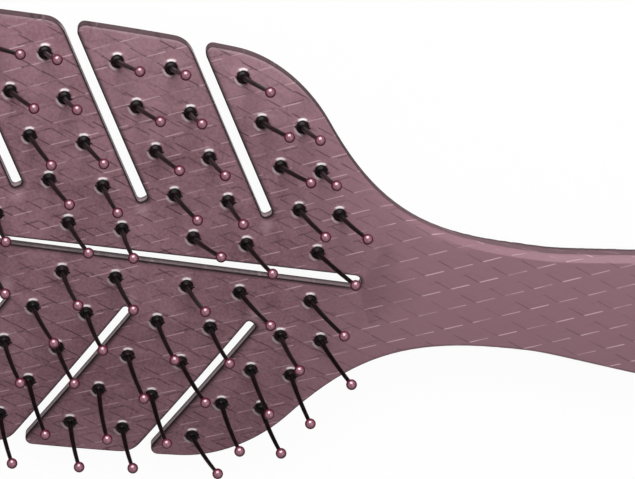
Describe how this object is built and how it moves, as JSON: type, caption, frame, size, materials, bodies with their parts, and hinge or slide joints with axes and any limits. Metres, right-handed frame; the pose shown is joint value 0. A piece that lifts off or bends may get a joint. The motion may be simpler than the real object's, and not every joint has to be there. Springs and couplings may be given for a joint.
{
  "type": "detangling brush",
  "caption": "Vented leaf-shaped detangling hair brush: one-piece translucent head and handle, swept slots between flexible lobes, slender pins with ball tips.",
  "frame": {"origin": "middle of the bounding box in X and Y, on the surface that the back of the brush lies on", "axes": "+X from the tip of the head to the end of the handle, +Y to the left half of the head, +Z out of the pin side"},
  "size_m": [0.235, 0.082, 0.0273],
  "materials": {
    "body": "translucent mauve moulding with a satin face",
    "pins": "black nylon with a plum tinge",
    "tips": "glossy mauve pink"
  },
  "bodies": {
    "root": {"brush_body": "body", "left_pins_1": "pins", "left_pins_2": "pins", "left_pins_3": "pins", "left_pins_4": "pins", "left_pins_5": "pins", "left_pins_6": "pins", "left_pins_7": "pins", "left_pins_8": "pins", "left_pins_9": "pins", "left_pins_10": "pins", "left_pins_11": "pins", "right_pins_1": "pins", "right_pins_2": "pins", "right_pins_3": "pins", "right_pins_4": "pins", "right_pins_5": "pins", "right_pins_6": "pins", "right_pins_7": "pins", "right_pins_8": "pins", "right_pins_9": "pins", "right_pins_10": "pins", "right_pins_11": "pins", "left_tips_1": "tips", "left_tips_2": "tips", "left_tips_3": "tips", "left_tips_4": "tips", "left_tips_5": "tips", "left_tips_6": "tips", "left_tips_7": "tips", "left_tips_8": "tips", "left_tips_9": "tips", "left_tips_10": "tips", "left_tips_11": "tips", "right_tips_1": "tips", "right_tips_2": "tips", "right_tips_3": "tips", "right_tips_4": "tips", "right_tips_5": "tips", "right_tips_6": "tips", "right_tips_7": "tips", "right_tips_8": "tips", "right_tips_9": "tips", "right_tips_10": "tips", "right_tips_11": "tips"}
  },
  "joints": []
}
